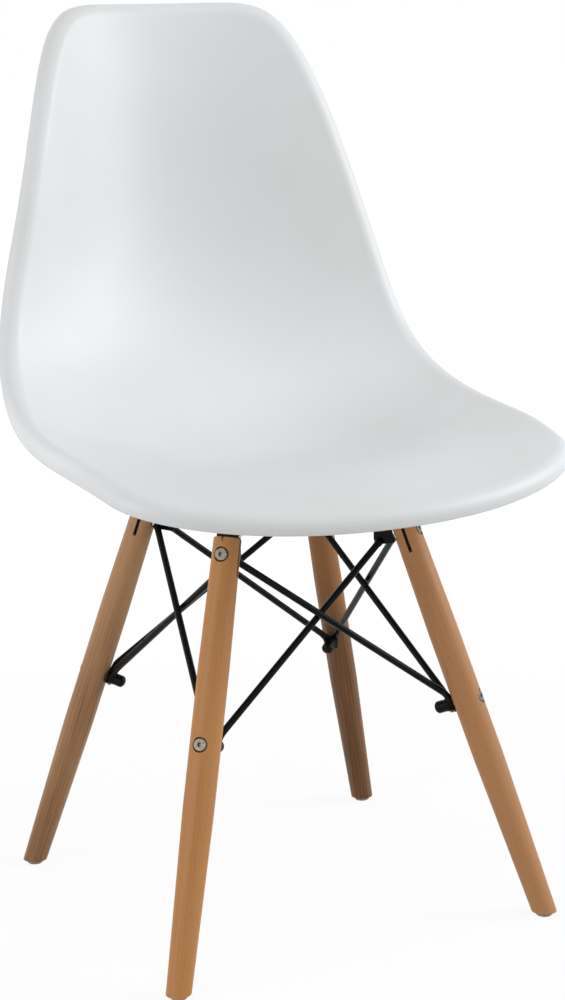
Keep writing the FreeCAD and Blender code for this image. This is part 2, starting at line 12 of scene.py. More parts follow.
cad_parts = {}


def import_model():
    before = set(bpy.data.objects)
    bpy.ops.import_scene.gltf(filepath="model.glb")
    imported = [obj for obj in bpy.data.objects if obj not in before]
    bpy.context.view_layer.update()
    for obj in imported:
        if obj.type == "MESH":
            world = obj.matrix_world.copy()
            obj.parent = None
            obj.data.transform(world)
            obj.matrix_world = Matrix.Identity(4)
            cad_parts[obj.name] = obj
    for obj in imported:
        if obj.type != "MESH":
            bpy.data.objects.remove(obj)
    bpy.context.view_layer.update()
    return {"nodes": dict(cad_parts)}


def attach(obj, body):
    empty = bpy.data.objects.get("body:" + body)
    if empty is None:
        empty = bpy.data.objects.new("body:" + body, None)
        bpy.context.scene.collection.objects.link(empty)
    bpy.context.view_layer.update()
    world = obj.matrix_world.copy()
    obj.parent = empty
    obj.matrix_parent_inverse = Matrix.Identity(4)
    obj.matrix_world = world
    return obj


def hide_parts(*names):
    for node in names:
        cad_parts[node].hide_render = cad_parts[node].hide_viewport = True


# A side chair: a moulded plastic shell on four splayed beech legs, braced by bent black rods.
# Metres, +Z up, the sitter faces -Y. Sizes are written in millimetres times MM.

Array = np.ndarray
MM = 0.001
DEPTH_SHIFT = -1.07 * MM
LOG = logging.getLogger("chair")


# Plain vector work

def unit(vectors: Array) -> Array:
    """Return vectors scaled to length one; the array's last direction holds x, y and z."""
    length = np.linalg.norm(vectors, axis=-1, keepdims=True)
    return vectors / np.maximum(length, 1e-12)


def ease(low: float, high: float, at: Array) -> Array:
    """Return a smooth rise from 0 at low to 1 at high: 3t^2 - 2t^3 of the clipped share t."""
    share = np.clip((np.asarray(at, float) - low) / (high - low), 0.0, 1.0)
    return share * share * (3.0 - 2.0 * share)


def full_turn(count: int) -> Array:
    """Return evenly spaced angles once round."""
    return np.linspace(0.0, 2 * np.pi, count, endpoint=False)


def way_along(points: Array) -> Array:
    """Return the length of a line of points up to each of them."""
    return np.concatenate([[0.0], np.cumsum(np.linalg.norm(np.diff(points, axis=0), axis=1))])


def spline_knots(count: int) -> Array:
    """Return the knots of a clamped cubic spline with a given number of poles."""
    return np.concatenate([[0.0] * 3, np.linspace(0.0, 1.0, count - 2), [1.0] * 3])


def spline_weights(count: int, places: Array) -> Array:
    """Work out how much each pole of a clamped cubic spline counts at some places.

    Starts from the boxes between neighbouring knots and blends neighbours three times, by the
    share passed since the left knot of the one and left until the right knot of the other.

    Args:
        count: number of poles.
        places: places from 0 to 1, of any shape.

    Returns:
        The weights, in one more direction of length count.
    """
    knots = spline_knots(count)
    at = np.clip(places, 0.0, 1.0 - 1e-12)[..., None]
    weights = ((knots[:-1] <= at) & (at < knots[1:])).astype(float)
    for degree in range(1, 4):
        left_span = knots[degree:-1] - knots[:-1 - degree]
        right_span = knots[degree + 1:] - knots[1:-degree]
        left = (at - knots[:-1 - degree]) / np.where(left_span > 0, left_span, 1.0)
        right = (knots[degree + 1:] - at) / np.where(right_span > 0, right_span, 1.0)
        weights = left * (left_span > 0) * weights[..., :-1] \
            + right * (right_span > 0) * weights[..., 1:]
    return weights


def pole_places(count: int) -> Array:
    """Return where the poles of a clamped cubic spline act: the mean of three knots each."""
    knots = spline_knots(count)
    return (knots[1:count + 1] + knots[2:count + 2] + knots[3:count + 3]) / 3.0


# Meshes

def closed_surface(rings: Array) -> tuple[Array, Array, Array]:
    """Join rings row to row and close each end onto its middle.

    The faces are turned so that the solid's volume, the sum of each triangle's corner product
    over six, is positive.

    Args:
        rings: array of rows, points round a ring, and x, y, z.

    Returns:
        Points, faces of four corners and faces of three corners.
    """
    rows, around, _ = rings.shape
    first = rows * around
    grid = np.arange(first).reshape(rows, around)
    near = np.roll(grid, -1, axis=1)
    quads = np.stack([grid[:-1], near[:-1], near[1:], grid[1:]], axis=-1).reshape(-1, 4)
    low = np.stack([np.full(around, first), near[0], grid[0]], axis=-1)
    high = np.stack([np.full(around, first + 1), grid[-1], near[-1]], axis=-1)
    fans = np.concatenate([low, high])
    ends = [rings[i].mean(0, keepdims=True) for i in (0, -1)]
    points = np.concatenate([rings.reshape(-1, 3), *ends])
    halves = np.concatenate([quads[:, :3], quads[:, [0, 2, 3]], fans])
    a, b, c = (points[halves[:, i]] for i in range(3))
    if np.einsum("ij,ij->i", a, np.cross(b, c)).sum() < 0:
        quads, fans = quads[:, ::-1], fans[:, ::-1]
    return points, quads, fans


def make_piece(name: str, surfaces: list[Array], crease: float | None,
               finish: Material) -> bpy.types.Object:
    """Make one piece from closed surfaces, with its origin at the chair's.

    Args:
        name: the piece's name.
        surfaces: the rings of each surface.
        crease: edges that turn by more than this many degrees stay sharp.
        finish: its material.

    Returns:
        The piece.
    """
    parts = [closed_surface(rings) for rings in surfaces]
    starts = np.cumsum([0] + [len(points) for points, _, _ in parts])
    faces = []
    for kind in (1, 2):
        for part, start in zip(parts, starts):
            faces += (part[kind] + start).tolist()
    mesh = bpy.data.meshes.new(name)
    mesh.from_pydata(np.concatenate([points for points, _, _ in parts]).tolist(), [], faces)
    mesh.polygons.foreach_set("use_smooth", np.ones(len(mesh.polygons), bool))
    if crease is not None:
        mesh.set_sharp_from_angle(angle=math.radians(crease))
    mesh.update()
    mesh.materials.append(finish)
    piece = bpy.data.objects.new(name, mesh)
    bpy.context.scene.collection.objects.link(piece)
    LOG.info("built %s", name)
    return piece


def turned_rings(profile: Array, foot: Array, axis: Array,
                 around: int) -> Array:
    """Carry a profile round an axis: foot + axis * height + radius * (cos, sin) across it.

    Args:
        profile: rows of radius and height.
        foot: the point of height 0.
        axis: unit direction of the axis.
        around: points round each ring.

    Returns:
        The rings.
    """
    helper = np.array([1.0, 0.0, 0.0]) if abs(axis[0]) < 0.9 else np.array([0.0, 1.0, 0.0])
    across = unit(np.cross(axis, helper))
    other = np.cross(axis, across)
    turn = full_turn(around)
    spoke = np.cos(turn)[:, None] * across + np.sin(turn)[:, None] * other
    return foot + profile[:, 1, None, None] * axis + profile[:, 0, None, None] * spoke


def rounded_profile(corners: list[tuple[float, float, float]], steps: int) -> Array:
    """Round the corners of a profile of (radius, height, rounding).

    Each corner becomes the parabola between the points one rounding before and after it:
    (1-t)^2 start + 2t(1-t) corner + t^2 end.

    Args:
        corners: radius, height and rounding of each corner, from one end to the other.
        steps: points in each rounded corner.

    Returns:
        Rows of radius and height.
    """
    share = np.linspace(0.0, 1.0, steps)[:, None]
    rows = []
    places = np.array([c[:2] for c in corners])
    for i, (_, _, rounding) in enumerate(corners):
        here = places[i]
        if rounding <= 0 or i in (0, len(corners) - 1):
            rows.append(here[None])
            continue
        start = here + unit(places[i - 1] - here) * rounding
        end = here + unit(places[i + 1] - here) * rounding
        rows.append((1 - share) ** 2 * start + 2 * share * (1 - share) * here + share ** 2 * end)
    return np.concatenate(rows)


# Material graphs

class Wire:
    """An output socket of a material's graph that takes part in arithmetic."""

    def __init__(self, graph: "Graph", socket: bpy.types.NodeSocket) -> None:
        """Remember the graph and the socket."""
        self.graph = graph
        self.socket = socket

    def _with(self, operation: str, other: "Wire | float" = 0.0) -> "Wire":
        """Return the result of one Math node on this value and another."""
        inputs = {"Value": self, "Value_001": other}
        return self.graph.node("ShaderNodeMath", {"operation": operation}, inputs, "Value")

    __add__ = __radd__ = partialmethod(_with, "ADD")
    __mul__ = __rmul__ = partialmethod(_with, "MULTIPLY")
    __sub__ = partialmethod(_with, "SUBTRACT")
    __pow__ = partialmethod(_with, "POWER")
    sine = partialmethod(_with, "SINE")

    def __rsub__(self, other: float) -> "Wire":
        """Return a number less this value."""
        inputs = {"Value": other, "Value_001": self}
        return self.graph.node("ShaderNodeMath", {"operation": "SUBTRACT"}, inputs, "Value")

    def rise(self, low: float, high: float) -> "Wire":
        """Return 0 below low and 1 above high, with a smooth rise between."""
        settings = {"interpolation_type": "SMOOTHSTEP"}
        inputs = {"Value": self, "From Min": low, "From Max": high}
        return self.graph.node("ShaderNodeMapRange", settings, inputs, "Result")


class Graph:
    """The node graph of one material or of the world."""

    def __init__(self, owner: Material | bpy.types.World) -> None:
        """Start with the empty graph of a material or world."""
        self.owner = owner
        owner.use_nodes = True
        self.tree = owner.node_tree
        self.tree.nodes.clear()

    @classmethod
    def of_material(cls, name: str) -> "Graph":
        """Return the empty graph of a new material."""
        return cls(bpy.data.materials.new(name))

    def node(self, kind: str, settings: dict | None = None, inputs: dict | None = None,
             output: str | None = None) -> "Wire | bpy.types.Node":
        """Add one node.

        Args:
            kind: the node's type.
            settings: the node's own settings, set first.
            inputs: values or wires by socket name or identifier.
            output: name or identifier of the socket to return.

        Returns:
            The output as a Wire, or the node itself where no output is named.
        """
        made = self.tree.nodes.new(kind)
        for key, value in (settings or {}).items():
            setattr(made, key, value)
        for key, value in (inputs or {}).items():
            socket = self._socket(made.inputs, key)
            if isinstance(value, Wire):
                self.tree.links.new(value.socket, socket)
            else:
                socket.default_value = value
        return Wire(self, self._socket(made.outputs, output)) if output else made

    @staticmethod
    def _socket(sockets: bpy.types.bpy_prop_collection, key: str) -> bpy.types.NodeSocket:
        """Return the socket with an identifier or, failing that, a name."""
        by_identifier = [s for s in sockets if s.identifier == key]
        by_name = [s for s in sockets if s.name == key and s.enabled]
        return (by_identifier + by_name)[0]

    def place(self) -> Wire:
        """Return the place on the object, in metres."""
        return self.node("ShaderNodeTexCoord", None, None, "Object")

    def mapped(self, place: Wire, location: tuple, rotation: tuple) -> Wire:
        """Return a place as a frame of its own sees it, turned by Euler angles."""
        inputs = {"Vector": place, "Location": location, "Rotation": rotation}
        return self.node("ShaderNodeMapping", {"vector_type": "TEXTURE"}, inputs, "Vector")

    def vector(self, operation: str, place: Wire, by: tuple) -> Wire:
        """Return a place changed by a vector: ADD shifts it, MULTIPLY stretches it."""
        inputs = {"Vector": place, "Vector_001": by}
        return self.node("ShaderNodeVectorMath", {"operation": operation}, inputs, "Vector")

    def streaks(self, place: Wire, factors: tuple, detail: float) -> Wire:
        """Return noise that is finer by a factor in each direction."""
        return self.noise(self.vector("MULTIPLY", place, factors), 1.0, detail)

    def parts(self, place: Wire) -> tuple[Wire, Wire, Wire]:
        """Return a place's x, y and z."""
        made = self.node("ShaderNodeSeparateXYZ", None, {"Vector": place})
        return tuple(Wire(self, made.outputs[key]) for key in "XYZ")

    def noise(self, place: Wire, scale: float, detail: float = 2.0, rough: float = 0.5) -> Wire:
        """Return noise round 0.5: spots per metre, finer layers and how strong they are."""
        inputs = {"Vector": place, "Scale": scale, "Detail": detail, "Roughness": rough}
        return self.node("ShaderNodeTexNoise", None, inputs, "Fac")

    def blend(self, factor: Wire | float, first: Wire | tuple, second: Wire | tuple) -> Wire:
        """Return a colour between two others."""
        inputs = {"Factor_Float": factor, "A_Color": first, "B_Color": second}
        return self.node("ShaderNodeMix", {"data_type": "RGBA"}, inputs, "Result_Color")

    def bump(self, height: Wire, strength: float, distance: float) -> Wire:
        """Return a normal that follows a height."""
        inputs = {"Height": height, "Strength": strength, "Distance": distance}
        return self.node("ShaderNodeBump", None, inputs, "Normal")

    def surface(self, inputs: dict) -> Material:
        """Return the material, closed with a surface shader of these inputs."""
        shader = self.node("ShaderNodeBsdfPrincipled", None, inputs, "BSDF")
        self.node("ShaderNodeOutputMaterial", {"target": "ALL"}, {"Surface": shader})
        return self.owner


def tone(red: int, green: int, blue: int) -> tuple[float, float, float, float]:
    """Return the linear colour, with an alpha of one, of display values from 0 to 255."""
    shares = [c / 255 for c in (red, green, blue)]
    return (*[s / 12.92 if s <= 0.04045 else ((s + 0.055) / 1.055) ** 2.4 for s in shares], 1.0)


# Finishes

@dataclass(frozen=True)
class ShellPlastic:
    """Satin moulded plastic with a faint skin texture and the odd hairline scuff."""

    clean: tuple = tone(238, 240, 242)
    aged: tuple = tone(233, 234, 233)
    roughness: float = 0.42

    def material(self) -> Material:
        """Return the material."""
        graph = Graph.of_material("shell_plastic")
        place = graph.place()
        broad = graph.noise(place, 5.0, 2.0)
        cloud = graph.noise(place, 38.0, 3.0)
        skin = graph.noise(place, 900.0, 2.0)
        lines = graph.streaks(place, (40.0, 900.0, 60.0), 2.0)
        scuffs = lines.rise(0.70, 0.78)
        base = graph.blend(broad.rise(0.35, 0.75), self.clean, self.aged)
        colour = graph.blend(scuffs * 0.10, base, tone(214, 214, 212))
        rough = self.roughness + (cloud - 0.5) * 0.10 + (skin - 0.5) * 0.06 + scuffs * 0.12
        height = skin * 0.7 + cloud * 0.6 - scuffs * 0.15
        return graph.surface({
            "Base Color": colour, "Roughness": rough, "IOR": 1.47,
            "Normal": graph.bump(height, 0.10, 0.4 * MM)})


@dataclass(frozen=True)
class Beech:
    """Lacquered beech: long soft streaks, growth bands from an off-centre heart, ray flecks and
    painted shade low down.
    """

    name: str
    foot: tuple
    turn: tuple
    light: tuple
    dark: tuple
    heart: tuple = (0.045, 0.03)
    seed: float = 0.0
    # how strongly painted shade darkens the leg's lower part
    painted_shade_below: float = 0.0

    def material(self) -> Material:
        """Return the material, its grain along the leg."""
        graph = Graph.of_material(self.name)
        place = graph.mapped(graph.place(), self.foot, self.turn)
        moved = graph.vector("ADD", place, (self.seed, self.seed * 0.7, self.seed * 1.3))
        drift, streaks, fibres, flecks, patch = [
            graph.streaks(moved, (across, across, along), detail)
            for across, along, detail in ((14.0, 3.5, 2.0), (420.0, 9.0, 3.0), (1700.0, 45.0, 2.0),
                                          (1500.0, 260.0, 1.0), (30.0, 6.0, 3.0))]
        x, y, z = graph.parts(place)
        dx = x - self.heart[0]
        dy = y - self.heart[1]
        from_heart = (dx * dx + dy * dy) ** 0.5
        bands = ((from_heart * 1900.0 + drift * 16.0).sine() * 0.5 + 0.5) ** 2.0
        fleck = flecks.rise(0.64, 0.74)
        # the last term is painted shade: it darkens the leg's lower part towards the dark tone
        share = bands * 0.10 + (streaks - 0.3) * 0.55 + (patch - 0.5) * 0.9 \
            + (fibres - 0.5) * 0.15 + (1.0 - z.rise(0.16, 0.31)) * self.painted_shade_below
        wood_and_shade = graph.blend(share.rise(0.0, 1.0), self.light, self.dark)
        deep = tuple(c * 0.45 for c in self.dark[:3]) + (1.0,)
        height = fibres * 0.6 - fleck * 0.7 + streaks * 0.4
        return graph.surface({
            "Base Color": graph.blend(fleck * 0.22, wood_and_shade, deep),
            "Roughness": 0.46 + (streaks - 0.5) * 0.16 + fleck * 0.08,
            "Specular IOR Level": 0.3,
            "Normal": graph.bump(height, 0.22, 0.25 * MM)})


@dataclass(frozen=True)
class BlackSteel:
    """Black lacquered steel, semi-gloss, slightly uneven."""

    name: str = "black_steel"
    colour: tuple = tone(11, 12, 13)
    worn: tuple = tone(18, 18, 19)
    roughness: float = 0.27
    gloss: float = 0.10

    def material(self) -> Material:
        """Return the material."""
        graph = Graph.of_material(self.name)
        place = graph.place()
        cloud = graph.noise(place, 60.0, 3.0)
        skin = graph.noise(place, 1400.0, 2.0)
        dust = graph.noise(place, 330.0, 4.0, 0.6).rise(0.58, 0.74)
        return graph.surface({
            "Base Color": graph.blend(dust * 0.4, self.colour, self.worn),
            "Roughness": self.roughness + (cloud - 0.5) * 0.12 + dust * 0.08,
            "Specular IOR Level": self.gloss,
            "Normal": graph.bump(skin * 0.5 + cloud * 0.5, 0.03, 0.2 * MM)})


@dataclass(frozen=True)
class PlatedMetal:
    """Dull plated metal with fine turning marks and darker spots."""

    name: str
    colour: tuple
    stain: tuple
    roughness: float = 0.34

    def material(self) -> Material:
        """Return the material."""
        graph = Graph.of_material(self.name)
        place = graph.place()
        cloud = graph.noise(place, 220.0, 3.0)
        grain = graph.streaks(place, (2600.0, 2600.0, 900.0), 2.0)
        spots = graph.noise(place, 700.0, 2.0).rise(0.56, 0.72)
        return graph.surface({
            "Base Color": graph.blend(spots * 0.5, self.colour, self.stain),
            "Metallic": 1.0,
            "Roughness": self.roughness + (cloud - 0.5) * 0.25 + spots * 0.15,
            "Normal": graph.bump(grain, 0.18, 0.1 * MM)})


@dataclass(frozen=True)
class SoftPlastic:
    """Matt rubber or plastic of small hidden parts, rubbed pale in places."""

    name: str
    colour: tuple
    rubbed: tuple
    roughness: float = 0.6

    def material(self) -> Material:
        """Return the material."""
        graph = Graph.of_material(self.name)
        place = graph.place()
        cloud = graph.noise(place, 260.0, 3.0)
        skin = graph.noise(place, 1800.0, 2.0)
        return graph.surface({
            "Base Color": graph.blend(cloud.rise(0.42, 0.72), self.colour, self.rubbed),
            "Roughness": self.roughness + (cloud - 0.5) * 0.2,
            "Normal": graph.bump(skin * 0.6 + cloud * 0.5, 0.2, 0.2 * MM)})


# Legs and what stands on them

class Corner(Enum):
    """The chair's four corners as the sitter's side and the front or the back."""

    FRONT_RIGHT = (-1, -1)
    FRONT_LEFT = (1, -1)
    REAR_LEFT = (1, 1)
    REAR_RIGHT = (-1, 1)

    @property
    def label(self) -> str:
        """The corner's name in the nodes."""
        return self.name.lower()


@dataclass(frozen=True)
class LegPlace:
    """The points and directions that everything on one leg shares."""

    corner: Corner
    foot_half: tuple = (185.0 * MM, 177.5 * MM)
    top_half: tuple = (86.6 * MM, 88.1 * MM)
    top_z: float = 372.0 * MM
    foot_d: float = 22.0 * MM
    belly_d: float = 27.5 * MM
    top_d: float = 24.5 * MM
    belly: tuple = (0.40, 0.72)
    bracket_rise: float = 2.0 * MM
    lower_bolt_down: float = 180.0 * MM

    def _at(self, half: tuple, height: float) -> Array:
        """Return a point at the leg's corner of a level rectangle."""
        sx, sy = self.corner.value
        return np.array([sx * half[0], sy * half[1] + DEPTH_SHIFT, height])

    @property
    def foot(self) -> Array:
        """The leg's axis on the floor."""
        return self._at(self.foot_half, 0.0)

    @property
    def top(self) -> Array:
        """The leg's axis at its top."""
        return self._at(self.top_half, self.top_z)

    @property
    def axis(self) -> Array:
        """Unit direction up the leg."""
        return unit(self.top - self.foot)

    @property
    def level(self) -> Array:
        """Level unit direction from the foot towards the top."""
        return unit((self.top - self.foot) * [1, 1, 0])

    @property
    def sideways(self) -> Array:
        """Level unit direction across the leg."""
        return unit(np.cross([0, 0, 1], self.level))

    @property
    def inward(self) -> Array:
        """Unit direction square to the leg, towards the chair's middle."""
        way = unit(np.cross(self.sideways, self.axis))
        return way if way @ self.level > 0 else -way

    def on_axis(self, down: float) -> Array:
        """Return the point on the axis a given way below the top."""
        return self.top - self.axis * down

    def radius(self, down: float) -> float:
        """Return the leg's radius a given way below its top, straight between its corners."""
        length = float(np.linalg.norm(self.top - self.foot))
        heights = [0.0, self.belly[0] * length, self.belly[1] * length, length]
        widths = [self.foot_d, self.belly_d, self.belly_d, self.top_d]
        return float(np.interp(length - down, heights, widths)) / 2

    def under_flange(self, reach: float, side: float) -> Array:
        """Return a point on the bracket flange's underside."""
        point = self.top + self.level * reach + self.sideways * side
        return np.array([point[0], point[1], self.top_z + self.bracket_rise])

    def grain_turn(self) -> tuple[float, float, float]:
        """Return the Euler angles of a frame whose Z runs up the leg."""
        columns = Matrix(np.stack([self.sideways, -self.inward, self.axis], axis=1).tolist())
        return tuple(columns.to_euler())


# The shell

@dataclass
class Shell:
    """The moulded shell: a double-curved face, a rolled rim and the back of the wall."""

    stations: tuple = (
        (-246.0, 416.0, 187.0, 3.0),
        (-143.0, 439.0, 211.0, 12.0),
        (-43.0, 418.0, 218.0, 35.0),
        (63.0, 408.0, 211.0, 57.0),
        (162.0, 456.0, 198.0, 62.0),
        (212.0, 562.0, 180.0, 67.0),
        (219.0, 691.0, 142.0, 63.0),
        (227.0, 837.8, 109.0, 27.0),
    )
    side_curve_power: float = 2.2
    poles_across: int = 9
    face_overrun: float = 1.06
    edge: tuple = (0.01, 0.99)
    front_round: tuple = (0.065, 2.15)
    top_round: tuple = (0.223, 9.5)
    wall: float = 4.5 * MM
    rim_radius: float = 12.8 * MM
    rim_skirt: float = 5.0 * MM
    rim_points: int = 320
    face_rings: int = 56
    heart: tuple = (0.42, 0.5)
    step: float = 1e-4
    net: Array = field(init=False)

    def __post_init__(self) -> None:
        """Work out the pole net: rows across the chair, raised at the sides by a power."""
        rows = np.array(self.stations) * MM
        y, z, half, rise = rows.T
        centre = np.stack([np.zeros(len(y)), y, z], axis=-1)
        at = pole_places(len(y))
        ahead = spline_weights(len(y), np.minimum(at + self.step, 1.0)) @ centre
        behind = spline_weights(len(y), np.maximum(at - self.step, 0.0)) @ centre
        forward = unit(ahead - behind)
        normal = np.stack([np.zeros(len(y)), -forward[:, 2], forward[:, 1]], axis=-1)
        across = (2 * pole_places(self.poles_across) - 1) * self.face_overrun
        lift = rise[:, None] * np.abs(across) ** self.side_curve_power
        self.net = centre[:, None] + normal[:, None] * lift[..., None]
        self.net[..., 0] += half[:, None] * across
        self.net[..., 1] += DEPTH_SHIFT

    def face(self, places: Array) -> Array:
        """Return points of the face: the pole net weighed by a cubic spline along and across.

        Args:
            places: array whose last direction is (along, across), 0 to 1.
        """
        along = spline_weights(self.net.shape[0], places[..., 0])
        across = spline_weights(self.net.shape[1], places[..., 1])
        return np.einsum("...i,...j,ijk->...k", along, across, self.net)

    def normal(self, places: Array) -> Array:
        """Return unit normals on the sitter's side: the slope across times the slope along."""
        step = self.step
        slopes = [self.face(np.clip(places + shift, 0.0, 1.0))
                  - self.face(np.clip(places - shift, 0.0, 1.0))
                  for shift in np.array([[0.0, step], [step, 0.0]])]
        return unit(np.cross(*slopes))

    def edge_places(self) -> Array:
        """Return evenly spaced places round the shell's edge.

        Half the edge is a quarter of a superellipse at the front, a straight run and a quarter
        of a superellipse at the top, in shares of the length and the half width. It is resampled
        by its length on the face, and mirrored.
        """
        reach = self.edge[1] - self.edge[0]
        turn = np.linspace(0.0, np.pi / 2, 600)
        cosine = np.maximum(np.cos(turn), 0.0)
        ends = []
        for start, way, (size, power) in ((self.edge[0], 1, self.front_round),
                                          (self.edge[1], -1, self.top_round)):
            along = start + way * (reach * size * (1 - cosine ** (2 / power)))
            ends.append(np.stack([along, np.sin(turn) ** (2 / power)], axis=-1)[::way])
        run = np.linspace(ends[0][-1, 0], ends[1][0, 0], 600)[1:-1]
        side = np.stack([run, np.ones_like(run)], axis=-1)
        half = np.concatenate([ends[0], side, ends[1]])
        half[:, 1] = 0.5 * (half[:, 1] / self.face_overrun + 1)
        way = way_along(self.face(half))
        wanted = np.linspace(0.0, way[-1], self.rim_points // 2 + 1)
        even = np.stack([np.interp(wanted, way, half[:, i]) for i in range(2)], axis=-1)
        other = even[-2:0:-1] * [1, -1] + [0, 1]
        return np.concatenate([even, other])

    def rings(self) -> Array:
        """Return the whole skin as rings round one heart.

        The face is read on straight rays from its heart to the edge. From the edge each ray goes
        on as a quarter circle outwards and down, a short skirt, a half circle round the wall's
        end, a smaller quarter circle back up, and home along the back, one wall behind the face.
        """
        edge = self.edge_places()
        heart = np.array(self.heart)
        share = np.linspace(0.0, 1.0, self.face_rings)[1:, None, None]
        rays = heart + share * (edge - heart)
        face = self.face(rays)
        start = face[-1]
        normal = self.normal(edge)
        tangent = unit(np.roll(start, -1, axis=0) - np.roll(start, 1, axis=0))
        outward = unit(np.cross(tangent, normal))
        centre = start - normal * self.rim_radius
        small = self.rim_radius - self.wall
        end = self.wall / 2
        turn = np.linspace(0.0, np.pi / 2, 16)[:, None, None]
        roll = centre + self.rim_radius * (outward * np.sin(turn) + normal * np.cos(turn))
        low = centre + outward * (self.rim_radius - end) - normal * (self.rim_skirt - end)
        half_turn = np.linspace(0.0, np.pi, 13)[:, None, None]
        lip = low + end * (outward * np.cos(half_turn) - normal * np.sin(half_turn))
        back_roll = (centre + small * (outward * np.sin(turn) + normal * np.cos(turn)))[::-1]
        back = (face - self.normal(rays) * self.wall)[::-1]
        return np.concatenate([face, roll[1:], lip, back_roll[:-1], back])

    def under(self, level: Array) -> Array:
        """Return the height of the wall's back over level points.

        Solves for the place whose back point has the wanted x and y by Newton's steps.

        Args:
            level: rows of x and y.
        """
        guess = np.tile(np.array([0.35, 0.5]), (len(level), 1))
        step = self.step

        def back(places: Array) -> Array:
            """Return points one wall behind the face."""
            return self.face(places) - self.normal(places) * self.wall

        for _ in range(12):
            here = back(guess)[:, :2]
            slope = np.stack([(back(guess + shift)[:, :2] - here) / step
                              for shift in ([step, 0.0], [0.0, step])], axis=-1)
            guess = guess + np.linalg.solve(slope, (level - here)[..., None])[..., 0]
            guess = np.clip(guess, 0.02, 0.97)
        return back(guess)[:, 2]

    def build(self, plastic: Material) -> None:
        """Make the shell's piece, which stands for the CAD shell."""
        piece = make_piece("shell_skin", [self.rings()], None, plastic)
        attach(piece, "root")
        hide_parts("seat_shell")


@dataclass
class Bosses:
    """The four bosses under the shell, each bored for a threaded sleeve."""

    shell: Shell
    legs: list
    reach: float = 20.0 * MM
    steel: float = 3.0 * MM
    pad: float = 2.0 * MM
    end_d: float = 24.0 * MM
    draft: float = 2.0
    flare: float = 7.0 * MM
    bore_d: float = 9.6 * MM
    bore_depth: float = 14.0 * MM
    blank: float = 48.0 * MM
    rib: float = 2.5 * MM
    rib_start: float = 5.0 * MM
    rib_spread: float = 14.0 * MM
    rib_edge: float = 0.5 * MM
    rib_draft: float = 0.02
    rib_steps: int = 60
    chamfer: float = 0.6 * MM
    sunk: float = 1.2 * MM
    around: int = 64

    def end(self, leg: LegPlace) -> Array:
        """Return the middle of the flat end of a leg's boss."""
        return leg.under_flange(self.reach, 0.0) + [0, 0, self.steel + self.pad]

    def one(self, leg: LegPlace) -> Array:
        """Return one boss: bore, flat end, drafted side and a flare that meets the shell.

        The side's radius grows with the height by the draft, and near the shell by the square of
        the share of the flare that is passed.
        """
        end = self.end(leg)
        boss = self.end_d / 2
        turn = full_turn(self.around)
        spoke = np.stack([np.cos(turn), np.sin(turn)], axis=-1)
        root = boss + self.flare + 1.0 * MM
        top = self.shell.under(end[:2] + spoke * root) + self.sunk
        share = np.linspace(0.0, 1.0, 22)[:, None]
        height = (top - end[2]) * share
        near = np.clip(1 - (top - end[2] - height) / self.flare, 0.0, 1.0)
        drafted = boss + height * math.tan(math.radians(self.draft))
        side = self._rings(end, spoke, drafted + self.flare * near ** 2.4, height)
        bore = self.bore_d / 2
        sizes = [(bore, self.bore_depth), (bore, 0.0), (boss - self.chamfer, 0.0)]
        inner = np.concatenate([
            self._rings(end, spoke, np.full((1, self.around), r), np.full((1, self.around), h))
            for r, h in sizes])
        side[0, :, 2] += self.chamfer
        return np.concatenate([inner, side])

    @staticmethod
    def _rings(end: Array, spoke: Array, radius: Array,
               height: Array) -> Array:
        """Return rings of end + radius * spoke, lifted by height."""
        level = end[:2] + radius[..., None] * spoke
        return np.concatenate([level, (end[2] + height)[..., None]], axis=-1)

    def rib_rings(self, leg: LegPlace, along: Array) -> Array:
        """Return one upright rib through a boss, as rings carried along it.

        The lower edge is level under the boss and slants up evenly beside it, until it meets the
        shell. A ring is the rib's section there: a rounded lower edge, drafted sides, and a top
        inside the wall.

        Args:
            leg: the leg whose boss it is.
            along: level unit direction of the rib.
        """
        end = self.end(leg)
        boss = self.end_d / 2
        root = boss + self.blank * math.tan(math.radians(self.draft)) + self.rib_spread
        slant = (self.blank - self.rib_start) / (root - boss)
        reach = np.linspace(0.0, root, 80)
        low = self.rib_start + np.maximum(reach - boss, 0.0) * slant
        limits = []
        for way in (-1.0, 1.0):
            top = self.shell.under(end[:2] + way * reach[:, None] * along[:2]) - end[2]
            limits.append(way * float(np.interp(0.0, low - top, reach)))
        at = np.linspace(*limits, self.rib_steps)
        bottom = self.rib_start + np.maximum(np.abs(at) - boss, 0.0) * slant
        top = self.shell.under(end[:2] + at[:, None] * along[:2]) + self.sunk - end[2]
        broken = np.minimum(bottom + self.rib_edge, top)
        half = np.full(self.rib_steps, self.rib / 2)
        inner = half - self.rib_edge
        wide = half + self.rib_draft * np.maximum(top - bottom, 0.0)
        offsets = np.stack([wide, half, inner, -inner, -half, -wide], axis=-1)
        heights = np.stack([top, broken, bottom, bottom, broken, top], axis=-1)
        up = np.eye(3)[2]
        return end + at[:, None, None] * along + offsets[..., None] * np.cross(up, along) \
            + heights[..., None] * up

    def build(self, plastic: Material) -> None:
        """Make the bosses' piece, ribs included."""
        surfaces = []
        for leg in self.legs:
            surfaces.append(self.one(leg))
            surfaces += [self.rib_rings(leg, along) for along in np.eye(3)[:2]]
        piece = make_piece("shell_bosses", surfaces, 50.0, plastic)
        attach(piece, "root")


# The rods

class Lay(Enum):
    """Whether a rod's eye lies against the leg or on top of the other eye."""

    AGAINST_LEG = 0
    ON_OTHER = 1


